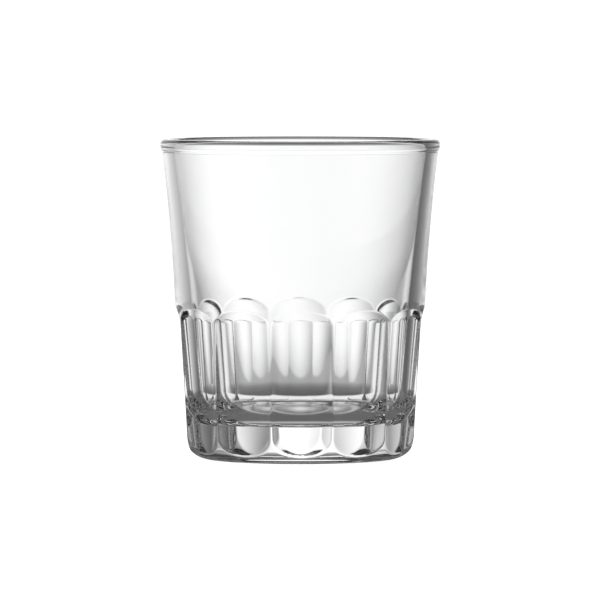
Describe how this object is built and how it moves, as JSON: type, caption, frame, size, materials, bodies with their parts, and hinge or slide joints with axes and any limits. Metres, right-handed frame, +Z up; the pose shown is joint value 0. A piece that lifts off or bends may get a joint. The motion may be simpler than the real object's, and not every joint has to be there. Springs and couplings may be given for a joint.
{
  "type": "rocks glass",
  "caption": "Clear pressed glass tumbler with a beaded rim, plain flared upper wall, arched hollow flutes round the lower half and a thick solid base, for short drinks over ice.",
  "frame": {"origin": "middle of the foot on the table", "axes": "+Z up along the axis of the glass, the middle of one flute faces -Y, which is the pictured front"},
  "size_m": [0.079, 0.079, 0.0904],
  "materials": {
    "clear_glass": "fire-polished clear soda-lime glass"
  },
  "bodies": {
    "root": {"tumbler": "clear_glass"}
  },
  "joints": []
}
